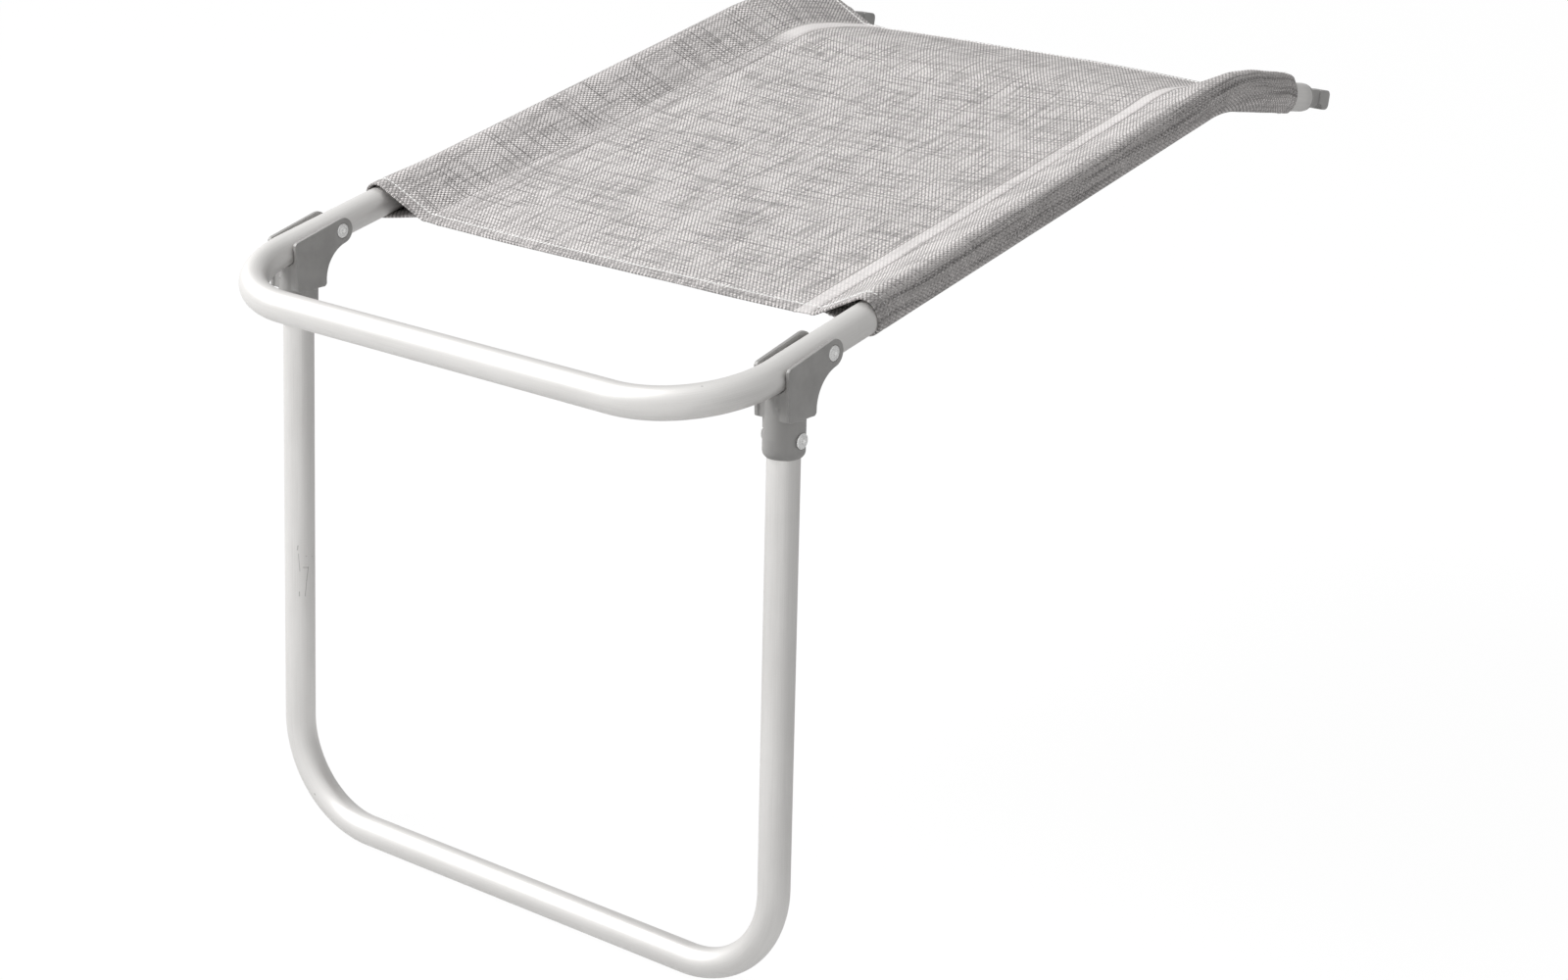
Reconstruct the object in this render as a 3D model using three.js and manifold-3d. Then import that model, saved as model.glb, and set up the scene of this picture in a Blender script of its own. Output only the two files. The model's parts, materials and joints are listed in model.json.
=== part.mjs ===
// Clip-on leg rest for a folding camping chair: a bent aluminium tube frame with a mesh sling,
// a folding U-shaped leg on two moulded saddle brackets, and two moulded hook plugs.
// Millimetres and degrees. X is the width, +Y points to the chair, +Z is up.
import * as THREE from "three";
import { mergeVertices } from "three/addons/utils/BufferGeometryUtils.js";
import Module from "manifold-3d";

const wasm = await Module();
wasm.setup();
const { degToRad } = THREE.MathUtils;

// Tube stock
const tubeDiameter = 20;
const tubeWall = 1.2;
const tubeSides = 16;
const bendStep = 7.5; // degrees of bend between two rings

// Top frame, measured from the fold pivots along the side rails
const frameWidth = 400; // rail centre to rail centre
const railPitch = 8.5; // rise of the rails towards the chair
const railNose = 39; // pivots to the start of the front corner
const frontCornerRadius = 66;
const railRun = 422; // pivots to the start of the rear bend
const rearBendRadius = 120;
const rearBendAngle = 20.5;
const rearRun = 92.5;

// Folding leg, measured from the fold pivots along the leg
const legDrop = 400; // pivots to the foot bar's centre
const legSetback = 28; // leg axis in front of the pivots
const legLean = 2.9;
const legSplay = 0.85; // each leg spreads outwards going down
const footCornerRadius = 66;

// Clearances
const seatGap = 0.3;
const cutOverrun = 5;
const samePoint = 0.01; // outline points nearer than this are one point

// Saddle brackets
const plateThickness = 2.8;
const lugRadius = 8.5;
const plateDrop = 34; // pivots to the plates' lower edge
const plateDepth = 26.4; // front to rear at the lower edge
const plateTaper = 2; // the front edge leans out by this much at the top
const plateTopTilt = 2.5; // the top edge falls this much faster than the rail
const plateFrontCorner = 1.5;
const plateRearCorner = 1.5;
const scoopRadius = 22.5; // concave rear edge below the lug
const webFrontRecess = 0.5;
const socketWall = 2.4;
const socketLength = 24.2; // below the plates
const socketChamferWidth = 2;
const socketChamferHeight = 3.4;
const legSeatDepth = 32; // how far the leg goes into its socket
const curveSides = 24;
const arcChords = 8;

// Rivets
const rivetDiameter = 5;
const rivetHeadDiameter = 9.6;
const rivetHeadHeight = 1.4;
const rivetSeatDepth = 1.2; // the pivot rivets' heads sit this deep in the plates
const rivetDimpleDiameter = 3.4;
const rivetDimpleDepth = 0.7;
const rivetSides = 16;
const socketRivetDrop = 12.5; // below the plates

// Hook plugs
const plugShankLength = 26;
const plugLeadIn = 2;
const plugCollarLength = 6;
const plugCollarRound = 4.6;
const plugNeckHeight = 12;
const plugNeckWidth = 11;
const plugReach = 33.5; // tube end to the plug's tip
const plugTipRound = 4;
const plugEdgeRound = 1.6;
const plugNotchReach = 21.5; // tube end to the notch's centre
const plugNotchRadius = 3;
const plugNotchDepth = 2.4;
const plugLipDrop = 1.6; // the lip hangs below the neck

// Mesh sling, cross-section measured from a rail's centre
const clothThickness = 1.2;
const sleeveSlack = 0.5; // rail surface to cloth
const slingStart = 46; // pivots to the front hem
const slingEndGap = 16.4; // rear hem to the tube's end
const seamInset = 38; // rail centre to the sleeve's seam
const seamDrop = 4; // seam below the rail's centre
const flapWidth = 17; // overlap sewn under the panel
const panelSag = 3.5;
const panelSteps = 8; // chords across the panel
const sleeveStep = 18; // degrees between two points round a sleeve

// Sewing thread
const threadWidth = 0.8;
const threadHeight = 0.5;
const hemInset = 9; // hem edge to its thread
const seamThreadInset = 2; // flap edge to each seam thread

// Worked-out sizes
const tubeRadius = tubeDiameter / 2;
const boreRadius = tubeRadius - tubeWall;
const boreFlat = boreRadius * Math.cos(Math.PI / tubeSides);
const railX = frameWidth / 2;
const frontReach = railNose + frontCornerRadius;
const plateInner = tubeRadius + seatGap;
const plateOuter = plateInner + plateThickness;
const socketRadius = tubeRadius + seatGap + socketWall;
const rivetRadius = rivetDiameter / 2;
const pitch = degToRad(railPitch);
const lean = degToRad(legLean);
const splay = degToRad(legSplay);
const rearBend = degToRad(rearBendAngle);
const rearTangent = rearBendRadius * Math.tan(rearBend / 2);
const socketEnd = plateDrop + socketLength;
const socketRivetLevel = plateDrop + socketRivetDrop;
const legTop = socketEnd - legSeatDepth;

// Materials
const aluminium = new THREE.MeshStandardMaterial({ color: 0xc9c9c7, roughness: 0.38, metalness: 0.9 });
const plastic = new THREE.MeshStandardMaterial({ color: 0x7d7d7a, roughness: 0.5, metalness: 0 });
const rivetMetal = new THREE.MeshStandardMaterial({ color: 0xdededc, roughness: 0.25, metalness: 1 });
const meshCloth = new THREE.MeshStandardMaterial({ color: 0xbebab6, roughness: 0.85, metalness: 0 });
const whiteThread = new THREE.MeshStandardMaterial({ color: 0xf2f1ee, roughness: 0.7, metalness: 0 });

const point = (x, y, z) => new THREE.Vector3(x, y, z);

// Frames: the rail frame turns by the rails' pitch, the leg frame by the leg's lean
const railFrame = new THREE.Matrix4().makeRotationX(pitch);
const legFrame = new THREE.Matrix4().makeRotationX(-lean);

// A side profile drawn in (Y, Z) stands across X
const sideways = new THREE.Matrix4().makeBasis(point(0, 1, 0), point(0, 0, 1), point(1, 0, 0));

// Boolean work on closed geometries
function toSolid(geometry) {
  const bare = geometry.clone();
  bare.deleteAttribute("normal");
  bare.deleteAttribute("uv");
  const merged = mergeVertices(bare);
  return new wasm.Manifold(new wasm.Mesh({
    numProp: 3,
    vertProperties: new Float32Array(merged.attributes.position.array),
    triVerts: new Uint32Array(merged.index.array),
  }));
}

function toGeometry(solid) {
  const mesh = solid.getMesh();
  const indexed = new THREE.BufferGeometry();
  indexed.setAttribute("position", new THREE.BufferAttribute(mesh.vertProperties, 3));
  indexed.setIndex(new THREE.BufferAttribute(mesh.triVerts, 1));
  const geometry = indexed.toNonIndexed();
  geometry.computeVertexNormals();
  return geometry;
}

function combine(base, added, removed) {
  let solid = toSolid(base);
  for (const geometry of added) solid = solid.add(toSolid(geometry));
  for (const geometry of removed) solid = solid.subtract(toSolid(geometry));
  return toGeometry(solid);
}

// A bar of straight runs joined by arcs, given by its corner points and their bend radii.
// One ring stands at each end of a run and at even steps round each bend.
class BentPath extends THREE.Curve {
  constructor(corners, radii) {
    super();
    this.rings = [];
    const last = corners.length - 1;
    corners.forEach((corner, i) => {
      if (i === 0 || i === last) {
        const [from, to] = i === 0 ? [corner, corners[1]] : [corners[last - 1], corner];
        this.rings.push({ position: corner, tangent: to.clone().sub(from).normalize() });
        return;
      }
      const before = corner.clone().sub(corners[i - 1]).normalize();
      const after = corners[i + 1].clone().sub(corner).normalize();
      const angle = before.angleTo(after);
      const axis = before.clone().cross(after).normalize();
      const inward = axis.clone().cross(before);
      const start = corner.clone().addScaledVector(before, -radii[i - 1] * Math.tan(angle / 2));
      const centre = start.clone().addScaledVector(inward, radii[i - 1]);
      const steps = Math.max(1, Math.round(angle / degToRad(bendStep)));
      for (let k = 0; k <= steps; k += 1) {
        const turn = (angle * k) / steps;
        const spoke = start.clone().sub(centre).applyAxisAngle(axis, turn);
        this.rings.push({
          position: centre.clone().add(spoke),
          tangent: before.clone().applyAxisAngle(axis, turn),
        });
      }
    });
  }

  get steps() {
    return this.rings.length - 1;
  }

  ring(u) {
    return this.rings[Math.round(u * this.steps)];
  }

  getPointAt(u) {
    return this.ring(u).position.clone();
  }

  getPoint(u) {
    return this.getPointAt(u);
  }

  getTangentAt(u) {
    return this.ring(u).tangent.clone();
  }
}

function polygon(radius, sides, turn) {
  const points = [];
  for (let i = 0; i < sides; i += 1) {
    const angle = ((i + 1 / 2) * 2 * Math.PI) / sides + turn;
    points.push(new THREE.Vector2(radius * Math.cos(angle), radius * Math.sin(angle)));
  }
  return points;
}

function sweep(shape, path) {
  return new THREE.ExtrudeGeometry(shape, { steps: path.steps, extrudePath: path, bevelEnabled: false });
}

function bentTube(path, turn) {
  const section = new THREE.Shape(polygon(tubeRadius, tubeSides, turn));
  section.holes.push(new THREE.Path(polygon(boreRadius, tubeSides, turn).reverse()));
  return sweep(section, path);
}

// A straight round bar between two points
function bar(from, to, radius, sides) {
  const along = to.clone().sub(from);
  const geometry = new THREE.CylinderGeometry(radius, radius, along.length(), sides);
  const turn = new THREE.Quaternion().setFromUnitVectors(point(0, 1, 0), along.clone().normalize());
  geometry.applyQuaternion(turn);
  return geometry.translate(...from.clone().lerp(to, 1 / 2).toArray());
}

// The outline's points with its arcs cut into chords, and without points that fall together
function chorded(shape) {
  const { shape: points } = shape.extractPoints(arcChords);
  const apart = points.filter((p, i) => p.distanceTo(points.at(i - 1)) > samePoint);
  return new THREE.Shape(apart);
}

// A side profile given thickness between two places on X
function plate(shape, xLow, xHigh, bevel = 0) {
  const geometry = new THREE.ExtrudeGeometry(chorded(shape), {
    depth: xHigh - xLow - 2 * bevel,
    bevelEnabled: bevel > 0,
    bevelThickness: bevel,
    bevelSize: bevel,
    bevelOffset: -bevel,
    bevelSegments: 3,
  });
  return geometry.applyMatrix4(sideways).translate(xLow + bevel, 0, 0);
}

// Top frame tube: front bar, two corners, two rails, two rear bends
function railEndPoint(side) {
  const run = rearTangent + rearRun;
  const corner = point(side * railX, railRun + rearTangent, 0);
  return corner.add(point(0, run * Math.cos(rearBend), -run * Math.sin(rearBend)));
}

function railCorners(side) {
  return [
    railEndPoint(side),
    point(side * railX, railRun + rearTangent, 0),
    point(side * railX, -frontReach, 0),
  ];
}

function pivotHole(side, from, to, radius) {
  return bar(point(side * railX + from, 0, 0), point(side * railX + to, 0, 0), radius, rivetSides);
}

function topFrameTube() {
  const corners = [...railCorners(-1), ...railCorners(1).reverse()];
  const path = new BentPath(corners, [rearBendRadius, frontCornerRadius, frontCornerRadius, rearBendRadius]);
  const holes = [-1, 1].map((side) => pivotHole(side, -plateOuter, plateOuter, rivetRadius + seatGap));
  return combine(bentTube(path, 0), [], holes);
}

// Folding leg tube: two splayed legs and the foot bar, whose underside keeps a level facet
function legPoint(side, drop) {
  const spread = (drop - socketRivetLevel) * Math.tan(splay);
  return point(side * (railX + spread), -legSetback, -drop);
}

function socketRivetHole(side, reach, radius) {
  const centre = legPoint(side, socketRivetLevel);
  const offset = point(reach, 0, 0);
  return bar(centre.clone().sub(offset), centre.clone().add(offset), radius, rivetSides);
}

function legFrameTube() {
  const corners = [legPoint(-1, legTop), legPoint(-1, legDrop), legPoint(1, legDrop), legPoint(1, legTop)];
  const path = new BentPath(corners, [footCornerRadius, footCornerRadius]);
  const holes = [-1, 1].map((side) => socketRivetHole(side, socketRadius, rivetRadius + seatGap));
  return combine(bentTube(path, lean), [], holes);
}

// Saddle bracket: two plates straddle the rail from below, a web joins them over a round socket
function plateShape() {
  const slope = pitch + lean + degToRad(plateTopTilt); // against the bracket
  const front = -legSetback - plateDepth / 2;
  const rear = -legSetback + plateDepth / 2;
  const frontTop = front - plateTaper;
  const topAt = (y) => y * Math.tan(slope) + lugRadius / Math.cos(slope);
  // The scoop's circle touches both the lug's circle and the straight rear edge below it
  const scoopY = rear + scoopRadius;
  const scoopZ = -Math.sqrt((lugRadius + scoopRadius) ** 2 - scoopY ** 2);
  const lugEnd = Math.atan2(scoopZ, scoopY);
  const shape = new THREE.Shape();
  shape.moveTo(front + plateFrontCorner, -plateDrop);
  shape.lineTo(front, -plateDrop + plateFrontCorner);
  shape.lineTo(frontTop, topAt(frontTop) - plateFrontCorner);
  shape.lineTo(frontTop + plateFrontCorner, topAt(frontTop + plateFrontCorner));
  shape.absarc(0, 0, lugRadius, Math.PI / 2 + slope, lugEnd, true);
  shape.absarc(scoopY, scoopZ, scoopRadius, lugEnd + Math.PI, Math.PI, false);
  shape.lineTo(rear, -plateDrop + plateRearCorner);
  shape.lineTo(rear - plateRearCorner, -plateDrop);
  shape.closePath();
  return shape;
}

function webShape() {
  const front = -legSetback - plateDepth / 2 + webFrontRecess;
  const rear = -legSetback + plateDepth / 2;
  const shape = new THREE.Shape();
  shape.moveTo(front, -plateDrop);
  shape.lineTo(front, 0);
  shape.lineTo(rear, 0);
  shape.lineTo(rear, -plateDrop);
  shape.closePath();
  return shape;
}

function socketBody() {
  const profile = [
    [0, -socketEnd],
    [socketRadius - socketChamferWidth, -socketEnd],
    [socketRadius, -socketEnd + socketChamferHeight],
    [socketRadius, 0],
    [0, 0],
  ];
  const turned = new THREE.LatheGeometry(profile.map(([r, z]) => new THREE.Vector2(r, z)), curveSides);
  return turned.rotateX(Math.PI / 2);
}

// The rail's own room: a channel, open upwards, along the rail's line in the bracket
function saddleRoom() {
  const length = frontReach;
  const across = 2 * (tubeRadius + seatGap);
  const round = bar(point(0, -length, 0), point(0, length, 0), across / 2, curveSides);
  const open = new THREE.BoxGeometry(across, 2 * length, plateDrop).translate(0, 0, plateDrop / 2);
  const room = combine(round, [open], []);
  return room.rotateX(pitch + lean);
}

function legBracket(side) {
  const outline = plateShape();
  const plates = [
    plate(outline, plateInner, plateOuter),
    plate(outline, -plateOuter, -plateInner),
  ].map((geometry) => geometry.translate(side * railX, 0, 0));
  const webReach = plateInner + plateThickness / 2;
  const web = plate(webShape(), -webReach, webReach).translate(side * railX, 0, 0);
  const upright = (geometry) => geometry
    .translate(0, 0, socketRivetLevel)
    .rotateY(-side * splay)
    .translate(side * railX, -legSetback, -socketRivetLevel);
  const socket = upright(socketBody());
  const boreLow = point(0, 0, -socketEnd - cutOverrun);
  const bore = upright(bar(boreLow, point(0, 0, seatGap - legTop), tubeRadius + seatGap, curveSides));
  const rivetRoom = rivetRadius + seatGap;
  const headRoom = rivetHeadDiameter / 2 + seatGap;
  const past = plateOuter + cutOverrun;
  const headSeat = plateOuter - rivetSeatDepth;
  return combine(plates[0], [plates[1], web, socket], [
    saddleRoom().translate(side * railX, 0, 0),
    bore,
    pivotHole(side, -past, past, rivetRoom),
    pivotHole(side, headSeat, past, headRoom),
    pivotHole(side, -past, -headSeat, headRoom),
    socketRivetHole(side, socketRadius + cutOverrun, rivetRoom),
  ]);
}

// Rivet: shank, domed heads and the dimples left by setting it, turned about X
function rivet(grip) {
  const face = grip / 2 + seatGap;
  const head = rivetHeadDiameter / 2;
  const dimple = rivetDimpleDiameter / 2;
  const top = face + rivetHeadHeight;
  const half = [
    [rivetRadius, face],
    [head, face],
    [head, face + rivetHeadHeight / 3],
    [(head + dimple) / 2, top],
    [dimple, top],
    [dimple / 2, top - rivetDimpleDepth],
    [0, top - rivetDimpleDepth],
  ];
  const profile = [...half.map(([r, z]) => [r, -z]).reverse(), ...half];
  const turned = new THREE.LatheGeometry(profile.map(([r, z]) => new THREE.Vector2(r, z)), rivetSides);
  return turned.rotateZ(-Math.PI / 2);
}

function pivotRivet(side) {
  return rivet(2 * (plateOuter - rivetSeatDepth)).translate(side * railX, 0, 0);
}

function socketRivet(side) {
  return rivet(2 * socketRadius).translate(...legPoint(side, socketRivetLevel).toArray());
}

// Hook plug, drawn along +Y from the tube's end: shank in the tube, collar, neck, notch and lip
function plugShank() {
  const shank = boreFlat - seatGap;
  const profile = [
    [0, -plugShankLength],
    [shank - plugLeadIn / 2, -plugShankLength],
    [shank, -plugShankLength + plugLeadIn],
    [shank, seatGap],
    [tubeRadius, seatGap],
    [tubeRadius, plugCollarLength - plugCollarRound],
    [tubeRadius - plugCollarRound / 3, plugCollarLength - plugCollarRound / 3],
    [tubeRadius - plugCollarRound, plugCollarLength],
    [0, plugCollarLength],
  ];
  return new THREE.LatheGeometry(profile.map(([r, y]) => new THREE.Vector2(r, y)), curveSides);
}

function plugHookShape() {
  const top = plugNeckHeight / 2;
  const lip = -top - plugLipDrop;
  const tip = plugReach - plugTipRound;
  const shape = new THREE.Shape();
  shape.moveTo(0, -top);
  shape.lineTo(plugNotchReach, -top);
  shape.lineTo(plugNotchReach, lip);
  shape.absarc(tip, lip + plugTipRound, plugTipRound, -Math.PI / 2, 0, false);
  shape.absarc(tip, top - plugTipRound, plugTipRound, 0, Math.PI / 2, false);
  shape.lineTo(0, top);
  shape.closePath();
  return shape;
}

function hookPlug(side) {
  const hook = plate(plugHookShape(), -plugNeckWidth / 2, plugNeckWidth / 2, plugEdgeRound);
  const notchZ = plugNotchDepth - plugNotchRadius - plugNeckHeight / 2;
  const notchX = plugNeckWidth / 2 + cutOverrun;
  const notch = bar(
    point(-notchX, plugNotchReach, notchZ),
    point(notchX, plugNotchReach, notchZ),
    plugNotchRadius,
    curveSides,
  );
  const plug = combine(plugShank(), [hook], [notch]);
  return plug.rotateX(-rearBend).translate(...railEndPoint(side).toArray());
}

// Mesh sling: a panel between two sleeves, drawn across X and swept along the rails
const slingPanelX = railX - seamInset;
const slingFlapX = slingPanelX - flapWidth;

function panelMiddle(x) {
  return -seamDrop - panelSag * (1 - (x / slingPanelX) ** 2);
}

// Angle round the rail at which a line from (x, z) touches the sleeve's outer circle
function sleeveTangent(x, z, over) {
  const outer = tubeRadius + sleeveSlack + clothThickness;
  const distance = Math.hypot(x - railX, z);
  const towards = Math.atan2(z, x - railX);
  const full = towards < 0 ? towards + 2 * Math.PI : towards;
  return full - over * Math.acos(outer / distance);
}

function sleeveArc(radius, from, to) {
  const steps = Math.round((from - to) / degToRad(sleeveStep));
  const points = [];
  for (let k = 0; k <= steps; k += 1) {
    const angle = from + ((to - from) * k) / steps;
    points.push([railX + radius * Math.cos(angle), radius * Math.sin(angle)]);
  }
  return points;
}

function slingHalf() {
  const inner = tubeRadius + sleeveSlack;
  const half = clothThickness / 2;
  const seamTop = -seamDrop + half;
  const seamLow = seamTop - 2 * clothThickness;
  const over = sleeveTangent(slingPanelX, seamTop, 1);
  const under = sleeveTangent(slingPanelX, seamLow, -1);
  const around = under - 2 * Math.PI;
  const middle = (over + under) / 2;
  const apex = inner / Math.cos((under - over) / 2);
  return {
    outline: [
      [slingPanelX, seamTop],
      ...sleeveArc(inner + clothThickness, over, around),
      [slingPanelX, seamLow],
      [slingFlapX, panelMiddle(slingFlapX) + half - 2 * clothThickness],
      [slingFlapX, panelMiddle(slingFlapX) - half],
    ],
    hole: [
      ...sleeveArc(inner, over, around),
      [railX + apex * Math.cos(middle), apex * Math.sin(middle)],
    ],
  };
}

function slingShape() {
  const { outline, hole } = slingHalf();
  const half = clothThickness / 2;
  const top = [];
  const low = [];
  for (let k = 1; k < panelSteps; k += 1) {
    const x = slingFlapX * ((2 * k) / panelSteps - 1);
    top.push([x, panelMiddle(x) + half]);
    low.push([-x, panelMiddle(x) - half]);
  }
  const mirrored = ([x, z]) => [-x, z];
  const loop = [
    [-slingFlapX, panelMiddle(slingFlapX) + half],
    ...top,
    [slingFlapX, panelMiddle(slingFlapX) + half],
    ...outline,
    ...low,
    ...outline.map(mirrored).reverse(),
  ];
  const across = ([x, z]) => new THREE.Vector2(-z, -x);
  const shape = new THREE.Shape(loop.map(across));
  shape.holes.push(new THREE.Path(hole.map(across)));
  shape.holes.push(new THREE.Path(hole.map(mirrored).reverse().map(across)));
  return shape;
}

// The cloth's line along the rails, from one place to another; the sections above stand square to it
function clothPath(start, endGap) {
  const [end, corner] = railCorners(1);
  const line = [point(0, start, 0), corner.setX(0), end.setX(0)];
  const back = line[1].clone().sub(line[2]).normalize();
  line[2].addScaledVector(back, endGap);
  return new BentPath(line, [rearBendRadius]);
}

function sling() {
  return sweep(slingShape(), clothPath(slingStart, slingEndGap));
}

// Sewing threads lie on the cloth: along each flap's two edges, and across both hems
function threadSection(x) {
  const low = panelMiddle(x) + clothThickness / 2 + seatGap;
  const [left, right] = [x - threadWidth / 2, x + threadWidth / 2];
  const corners = [[left, low], [right, low], [right, low + threadHeight], [left, low + threadHeight]];
  return new THREE.Shape(corners.map(([a, b]) => new THREE.Vector2(-b, -a)));
}

function seamThread(side, inset) {
  const x = side * (slingFlapX + inset);
  return sweep(threadSection(x), clothPath(slingStart + seamThreadInset, slingEndGap + seamThreadInset));
}

function hemThread(along, up) {
  const base = clothThickness / 2 + seatGap;
  const low = [];
  const high = [];
  for (let k = 0; k <= panelSteps; k += 1) {
    const x = (slingFlapX - seamThreadInset) * ((2 * k) / panelSteps - 1);
    low.push(new THREE.Vector2(x, panelMiddle(x) + base));
    high.push(new THREE.Vector2(x, panelMiddle(x) + base + threadHeight));
  }
  const shape = new THREE.Shape([...low, ...high.reverse()]);
  const thread = new THREE.ExtrudeGeometry(shape, { depth: threadWidth, bevelEnabled: false });
  thread.rotateX(Math.PI / 2).translate(0, threadWidth / 2, 0);
  return thread.rotateX(up).translate(...along.toArray());
}

function frontHemThread() {
  return hemThread(point(0, slingStart + hemInset, 0), 0);
}

function rearHemThread() {
  const end = railEndPoint(1).setX(0);
  const run = slingEndGap + hemInset;
  end.add(point(0, -run * Math.cos(rearBend), run * Math.sin(rearBend)));
  return hemThread(end, -rearBend);
}

// Assembly: the pivots' line is the frames' origin, and the part's own origin lies midway between
// the two hook plugs' notches, where the chair holds it
function mesh(name, geometry, material) {
  const piece = new THREE.Mesh(geometry, material);
  piece.name = name;
  return piece;
}

const sides = [["left", -1], ["right", 1]];

const seat = new THREE.Group();
seat.applyMatrix4(railFrame);
seat.add(mesh("top_frame_tube", topFrameTube(), aluminium));
seat.add(mesh("sling", sling(), meshCloth));
seat.add(mesh("hem_thread_front", frontHemThread(), whiteThread));
seat.add(mesh("hem_thread_rear", rearHemThread(), whiteThread));
for (const [word, side] of sides) {
  seat.add(mesh(`hook_plug_${word}`, hookPlug(side), plastic));
  seat.add(mesh(`pivot_rivet_${word}`, pivotRivet(side), rivetMetal));
  seat.add(mesh(`seam_thread_outer_${word}`, seamThread(side, flapWidth - seamThreadInset), whiteThread));
  seat.add(mesh(`seam_thread_inner_${word}`, seamThread(side, seamThreadInset), whiteThread));
}

const leg = new THREE.Group();
leg.applyMatrix4(legFrame);
leg.add(mesh("leg_frame_tube", legFrameTube(), aluminium));
for (const [word, side] of sides) {
  leg.add(mesh(`leg_bracket_${word}`, legBracket(side), plastic));
  leg.add(mesh(`socket_rivet_${word}`, socketRivet(side), rivetMetal));
}

const hold = railEndPoint(1).setX(0);
hold.add(point(0, plugNotchReach * Math.cos(rearBend), -plugNotchReach * Math.sin(rearBend)));
hold.applyMatrix4(railFrame);

const legRest = new THREE.Group();
legRest.add(seat, leg);
legRest.position.copy(hold).negate();
legRest.updateMatrixWorld(true);

export default legRest;
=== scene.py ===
import json
import math

import bmesh
import bpy
import numpy as np
from mathutils import Matrix, Vector, noise


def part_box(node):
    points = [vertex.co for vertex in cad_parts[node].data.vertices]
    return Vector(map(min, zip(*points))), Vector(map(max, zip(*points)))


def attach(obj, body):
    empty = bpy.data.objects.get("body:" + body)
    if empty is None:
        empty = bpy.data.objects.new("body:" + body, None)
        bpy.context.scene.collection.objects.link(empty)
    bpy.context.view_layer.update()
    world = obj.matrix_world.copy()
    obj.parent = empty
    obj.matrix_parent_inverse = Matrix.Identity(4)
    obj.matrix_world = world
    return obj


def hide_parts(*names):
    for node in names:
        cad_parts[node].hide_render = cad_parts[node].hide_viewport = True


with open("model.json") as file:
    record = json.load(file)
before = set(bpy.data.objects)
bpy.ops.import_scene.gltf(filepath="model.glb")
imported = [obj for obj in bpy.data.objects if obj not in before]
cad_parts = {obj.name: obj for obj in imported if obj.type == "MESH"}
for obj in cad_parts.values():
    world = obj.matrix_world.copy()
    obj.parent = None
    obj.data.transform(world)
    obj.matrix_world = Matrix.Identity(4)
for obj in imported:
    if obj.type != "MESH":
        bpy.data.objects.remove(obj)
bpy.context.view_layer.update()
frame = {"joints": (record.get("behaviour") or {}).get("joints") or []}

mm = 0.001


# Top frame tube: one drawn aluminium tube, 20 mm across with a 1.2 mm wall, satin anodised, then bent into
# the front bar, two side rails and two downward ends. The mandrel leaves each bend a little flat.
tube_radius = 10 * mm
tube_wall = 1.2 * mm
tube_lip = 0.3 * mm  # deburred edge of a cut end
tube_sides = 48
run_step = 14 * mm
bend_step = math.radians(2.5)
rail_pitch = math.radians(8.5)
rail_nose = 39 * mm  # pivots to the start of the front corner
rail_run = 422 * mm  # pivots to the start of the rear bend
front_corner_radius = 66 * mm
rear_bend_radius = 120 * mm
rear_bend = math.radians(20.5)
rear_run = 92.5 * mm
bend_flattening = 0.05
bend_ramp = 5  # a bend is at its flattest after one part in this many of its angle
bend_widening = 0.4  # share of the flattening that goes into width
silver = (0.80, 0.788, 0.772)
shaded_silver = (0.71, 0.698, 0.682)

pivots = Vector(frame["joints"][0]["pos_m"])
rivet_low, rivet_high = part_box("pivot_rivet_right")
rail_x = (rivet_low[0] + rivet_high[0]) / 2
rail_turn = Matrix.Rotation(rail_pitch, 3, "X")
rear_tangent = rear_bend_radius * math.tan(rear_bend / 2)


def in_rails(place):
    """A place in the row's frame, given across, along the rails from the pivots, and square to the rails."""
    return pivots + rail_turn @ Vector(place)


class Wire:
    """A socket of a material. Sums and products of wires add Math nodes; node() adds any other node."""

    def __init__(self, tree, socket=None):
        self.tree = tree
        self.socket = socket

    def node(self, kind, settings=None, sockets=None, output=0):
        """Adds a node, makes its settings first, then gives its sockets their values or links."""
        made = self.tree.nodes.new("ShaderNode" + kind)
        for name, value in (settings or {}).items():
            setattr(made, name, value)
        usable = [socket for socket in made.inputs if socket.enabled]
        for name, value in (sockets or {}).items():
            socket = usable[name] if isinstance(name, int) else next(s for s in usable if s.name == name)
            if isinstance(value, Wire):
                self.tree.links.new(value.socket, socket)
            elif socket.type == "RGBA":
                socket.default_value = (*value, 1)
            else:
                socket.default_value = value
        results = [Wire(self.tree, socket) for socket in made.outputs if socket.enabled]
        return results if output is None else results[output]

    def math(self, operation, *others):
        """A Math node on this wire and any others."""
        return self.node("Math", {"operation": operation}, dict(enumerate((self, *others))))

    def __add__(self, other):
        return self.math("ADD", other)

    __radd__ = __add__

    def __sub__(self, other):
        return self.math("SUBTRACT", other)

    def __rsub__(self, other):
        return self.node("Math", {"operation": "SUBTRACT"}, {0: other, 1: self})

    def __mul__(self, other):
        return self.math("MULTIPLY", other)

    __rmul__ = __mul__

    def __truediv__(self, other):
        return self.math("DIVIDE", other)

    def __rtruediv__(self, other):
        return self.node("Math", {"operation": "DIVIDE"}, {0: other, 1: self})


def finish(name, settings, paint):
    """A material: settings stay on the surface's own sockets, and paint gives what varies over it."""
    made = bpy.data.materials.new(name)
    made.use_nodes = True
    tree = made.node_tree
    surface = tree.nodes["Principled BSDF"]
    for socket, value in settings.items():
        surface.inputs[socket].default_value = value
    for socket, wire in paint(Wire(tree)).items():
        tree.links.new(wire.socket, surface.inputs[socket])
    return made


def attribute(start, name):
    return start.node("Attribute", {"attribute_name": name}, output=1)


def vector_math(operation, one, other):
    return one.node("VectorMath", {"operation": operation}, {0: one, 1: other})


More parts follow.
